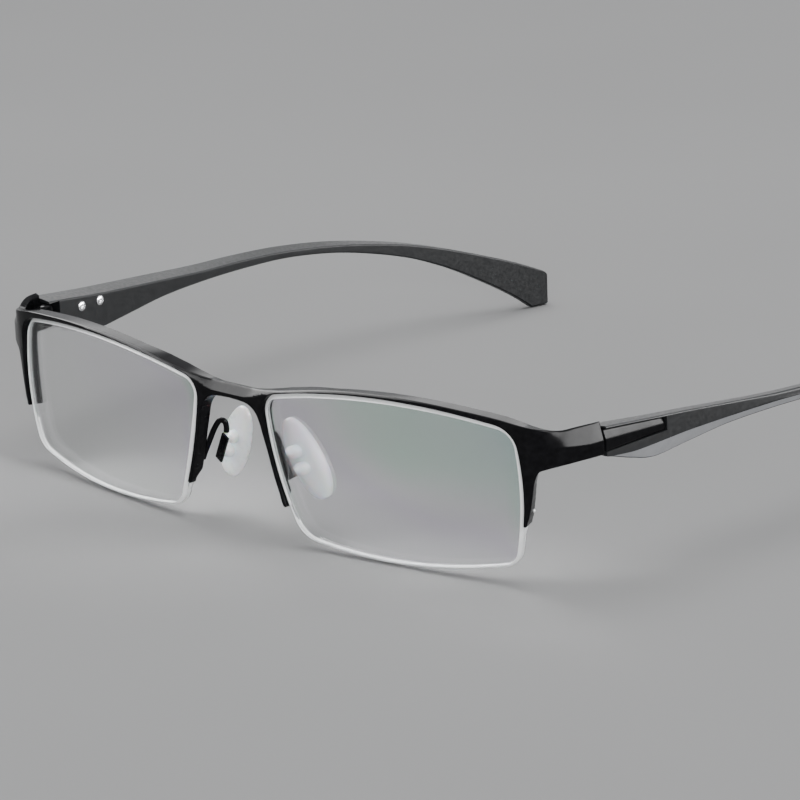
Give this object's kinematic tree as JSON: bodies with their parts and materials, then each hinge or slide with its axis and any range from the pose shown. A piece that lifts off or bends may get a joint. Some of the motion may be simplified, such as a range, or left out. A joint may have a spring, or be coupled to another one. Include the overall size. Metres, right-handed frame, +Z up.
{
  "type": "half rim eyeglasses",
  "caption": "Half rim eyeglasses with a black metal front, coated clear lenses held by nylon cord, silicone nose pads and folding plastic temples.",
  "frame": {"origin": "on the surface that the open glasses stand on, in the middle of their footprint", "axes": "+X to the wearer's left, +Y from the front towards the temple tips, +Z up; the lens edges and the temple tips rest at z = 0"},
  "size_m": [0.1512, 0.1522, 0.032],
  "materials": {
    "black_metal": "black coated light alloy, satin with soft highlights",
    "hinge_metal": "black plated hinge metal",
    "temple_plastic": "smooth dark grey moulded nylon, low sheen",
    "clear_lens": "clear lens with a green and violet anti-reflection coating",
    "clear_nylon": "clear nylon line",
    "silicone": "translucent soft silicone",
    "steel": "bright steel screws"
  },
  "bodies": {
    "front": {"front_frame": "black_metal", "lens_left": "clear_lens", "lens_right": "clear_lens", "rim_liner_left": "clear_nylon", "rim_liner_right": "clear_nylon", "lens_cord_left": "clear_nylon", "lens_cord_right": "clear_nylon", "pad_arm_left": "black_metal", "pad_arm_right": "black_metal", "pad_plate_left": "black_metal", "pad_plate_right": "black_metal", "nose_pad_left": "silicone", "nose_pad_right": "silicone", "end_hinge_left": "hinge_metal", "end_hinge_right": "hinge_metal", "hinge_screw_left": "hinge_metal", "hinge_screw_right": "hinge_metal"},
    "temple_left_body": {"temple_left": "temple_plastic", "temple_hinge_left": "hinge_metal", "temple_screw_front_left": "steel", "temple_screw_rear_left": "steel"},
    "temple_right_body": {"temple_right": "temple_plastic", "temple_hinge_right": "hinge_metal", "temple_screw_front_right": "steel", "temple_screw_rear_right": "steel"}
  },
  "joints": [
    {"name": "temple_left_fold", "type": "hinge", "parent": "front", "child": "temple_left_body", "pos_m": [0.0685, -0.05642, 0.02455], "axis": [0, 0, 1], "range_deg": [0, 85]},
    {"name": "temple_right_fold", "type": "hinge", "parent": "front", "child": "temple_right_body", "pos_m": [-0.0685, -0.05642, 0.02455], "axis": [0, 0, -1], "range_deg": [0, 80]}
  ]
}
